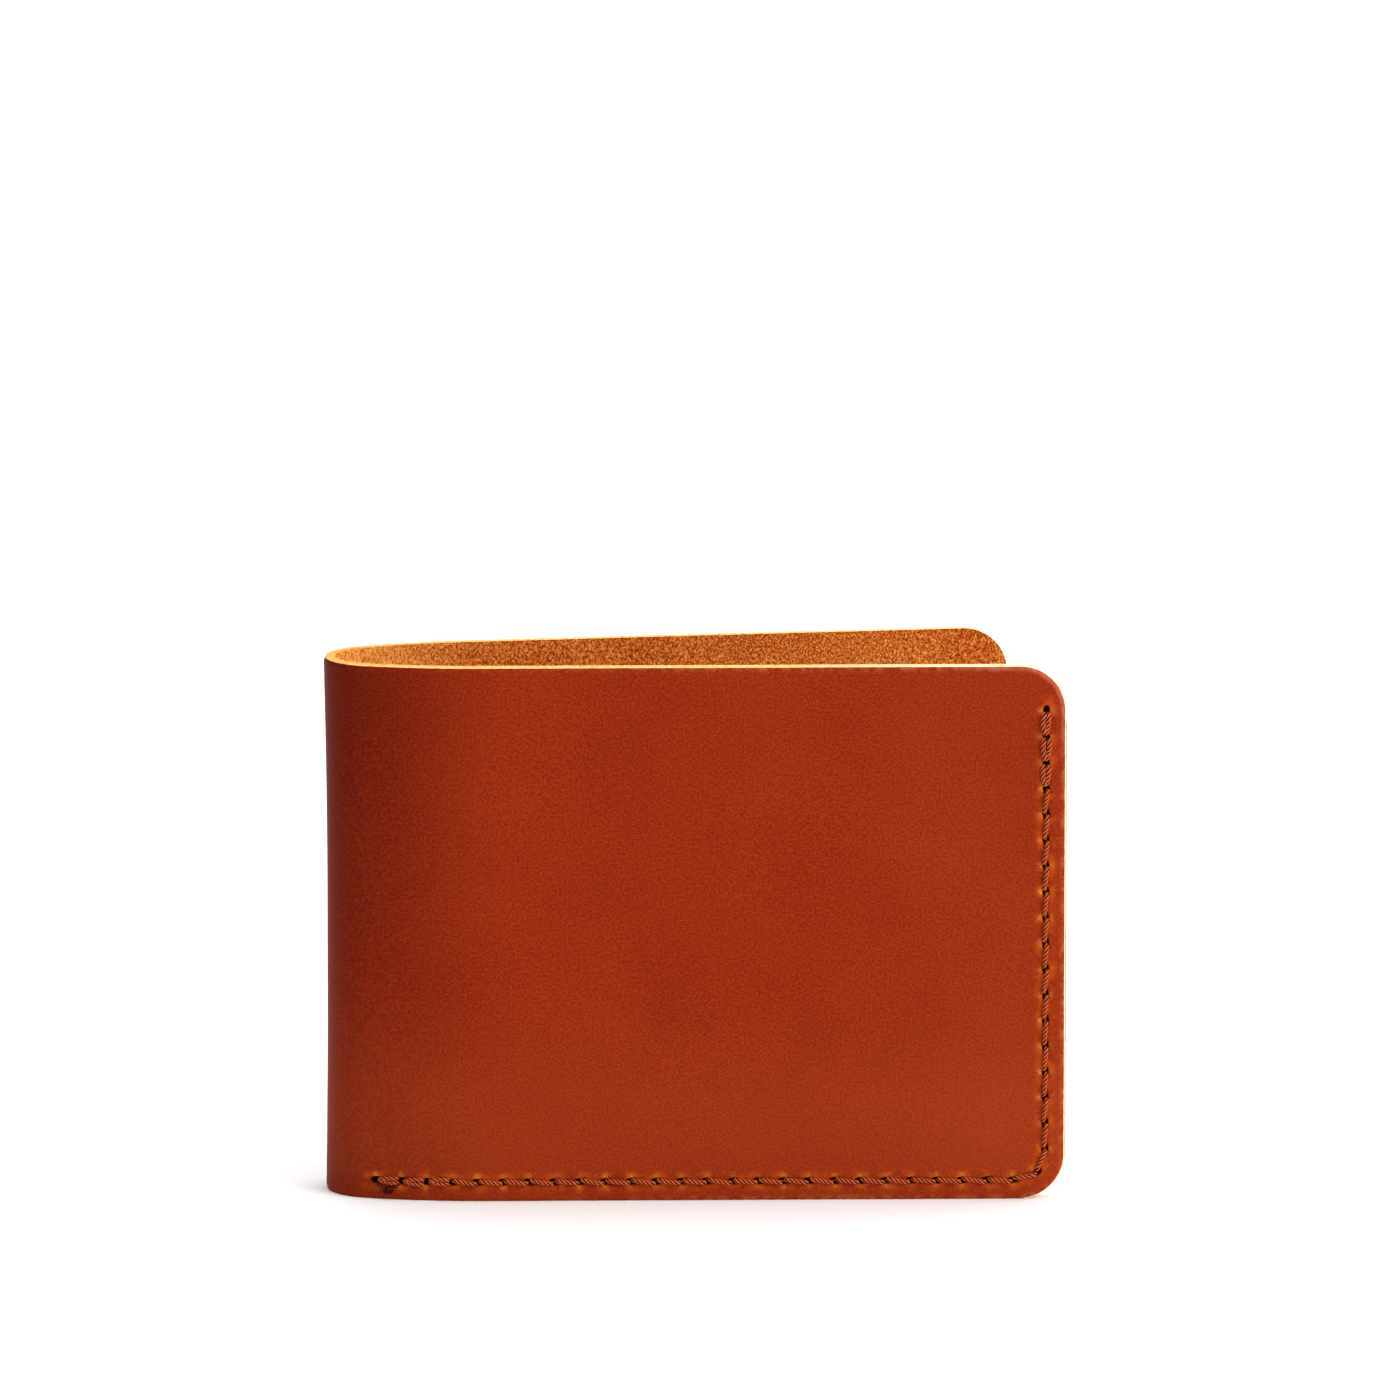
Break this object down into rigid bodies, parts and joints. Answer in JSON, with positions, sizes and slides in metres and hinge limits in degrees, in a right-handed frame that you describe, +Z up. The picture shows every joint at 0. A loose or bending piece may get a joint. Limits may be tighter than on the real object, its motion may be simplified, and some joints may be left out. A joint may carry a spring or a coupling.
{
  "type": "bifold wallet",
  "caption": "Leather bifold wallet standing half open, with a bill panel and stepped card pockets in each half.",
  "frame": {"origin": "on the surface the wallet stands on, under the middle of its box", "axes": "+Z up along the wallet's height, +X from the fold towards the free edges, +Y from the front half towards the back half"},
  "size_m": [0.1124, 0.0356, 0.083],
  "materials": {
    "cover_leather": "satin",
    "pocket_leather": "satin",
    "thread": "matte"
  },
  "bodies": {
    "front_half": {"front_cover": "cover_leather", "front_bill_panel": "pocket_leather", "front_upper_card_pocket": "pocket_leather", "front_middle_card_pocket": "pocket_leather", "front_lower_card_pocket": "pocket_leather", "front_seam_thread": "thread", "front_pocket_side_thread": "thread", "front_upper_pocket_thread": "thread", "front_middle_pocket_thread": "thread"},
    "fold_strip_1": {"spine_strip_1": "cover_leather"},
    "fold_strip_2": {"spine_strip_2": "cover_leather"},
    "fold_strip_3": {"spine_strip_3": "cover_leather"},
    "fold_strip_4": {"spine_strip_4": "cover_leather"},
    "fold_strip_5": {"spine_strip_5": "cover_leather"},
    "back_half": {"back_cover": "cover_leather", "back_bill_panel": "pocket_leather", "back_upper_card_pocket": "pocket_leather", "back_middle_card_pocket": "pocket_leather", "back_lower_card_pocket": "pocket_leather", "back_seam_thread": "thread", "back_pocket_side_thread": "thread", "back_upper_pocket_thread": "thread", "back_middle_pocket_thread": "thread"}
  },
  "joints": [
    {"name": "fold_1", "type": "hinge", "parent": "fold_strip_1", "child": "front_half", "pos_m": [-0.05065, -0.00703, 0], "axis": [0, 0, -1], "range_deg": [-1.7, 28.75]},
    {"name": "fold_2", "type": "hinge", "parent": "fold_strip_2", "child": "fold_strip_1", "pos_m": [-0.05353, -0.00486, 0], "axis": [0, 0, -1], "range_deg": [-1.7, 28.75]},
    {"name": "fold_3", "type": "hinge", "parent": "fold_strip_3", "child": "fold_strip_2", "pos_m": [-0.05515, -0.00162, 0], "axis": [0, 0, -1], "range_deg": [-1.7, 28.75]},
    {"name": "fold_4", "type": "hinge", "parent": "fold_strip_3", "child": "fold_strip_4", "pos_m": [-0.05515, 0.00199, 0], "axis": [0, 0, 1], "range_deg": [-1.7, 28.75]},
    {"name": "fold_5", "type": "hinge", "parent": "fold_strip_4", "child": "fold_strip_5", "pos_m": [-0.05353, 0.00522, 0], "axis": [0, 0, 1], "range_deg": [-1.7, 28.75]},
    {"name": "fold_6", "type": "hinge", "parent": "fold_strip_5", "child": "back_half", "pos_m": [-0.05065, 0.0074, 0], "axis": [0, 0, 1], "range_deg": [-1.7, 28.75]}
  ],
  "couplings": [
    {"joint": "fold_2", "follows": "fold_1", "ratio": 1},
    {"joint": "fold_3", "follows": "fold_1", "ratio": 1},
    {"joint": "fold_4", "follows": "fold_1", "ratio": 1},
    {"joint": "fold_5", "follows": "fold_1", "ratio": 1},
    {"joint": "fold_6", "follows": "fold_1", "ratio": 1}
  ]
}
